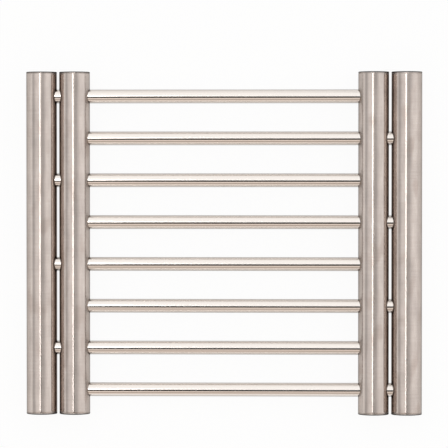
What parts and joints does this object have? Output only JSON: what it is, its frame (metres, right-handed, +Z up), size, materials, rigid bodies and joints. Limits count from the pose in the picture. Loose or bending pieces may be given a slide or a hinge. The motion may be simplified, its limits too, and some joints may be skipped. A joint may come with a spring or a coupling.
{
  "type": "expanding trivet",
  "caption": "Flat trivet of stainless steel tube: ladder frames slide through each other on their rods, so it pulls open to nearly twice its shut length.",
  "frame": {"origin": "on the table under the middle of the trivet, nearly shut as it is at rest", "axes": "+X along the rods, the way the trivet pulls open; +Y along the thick cross tubes, away from the user; +Z up from the table"},
  "size_m": [0.2324, 0.201, 0.018],
  "materials": {
    "ground_tube": "stainless steel tube, ground round to a satin finish",
    "polished_rod": "stainless steel rod, polished bright along its length",
    "pressed_cap": "pressed stainless steel, half bright"
  },
  "bodies": {
    "left_frame": {"left_frame_end_tube": "ground_tube", "left_frame_end_tube_back_cap": "pressed_cap", "left_frame_end_tube_front_cap": "pressed_cap", "left_frame_far_tube": "ground_tube", "left_frame_far_tube_back_cap": "pressed_cap", "left_frame_far_tube_front_cap": "pressed_cap", "left_frame_rod_1": "polished_rod", "left_frame_rod_2": "polished_rod", "left_frame_rod_3": "polished_rod", "left_frame_rod_4": "polished_rod"},
    "right_frame": {"right_frame_end_tube": "ground_tube", "right_frame_end_tube_back_cap": "pressed_cap", "right_frame_end_tube_front_cap": "pressed_cap", "right_frame_far_tube": "ground_tube", "right_frame_far_tube_back_cap": "pressed_cap", "right_frame_far_tube_front_cap": "pressed_cap", "right_frame_rod_1": "polished_rod", "right_frame_rod_2": "polished_rod", "right_frame_rod_3": "polished_rod", "right_frame_rod_4": "polished_rod"}
  },
  "joints": [
    {"name": "frame_slide", "type": "slide", "parent": "left_frame", "child": "right_frame", "axis": [1, 0, 0], "range_m": [-0.0013, 0.1575]}
  ]
}
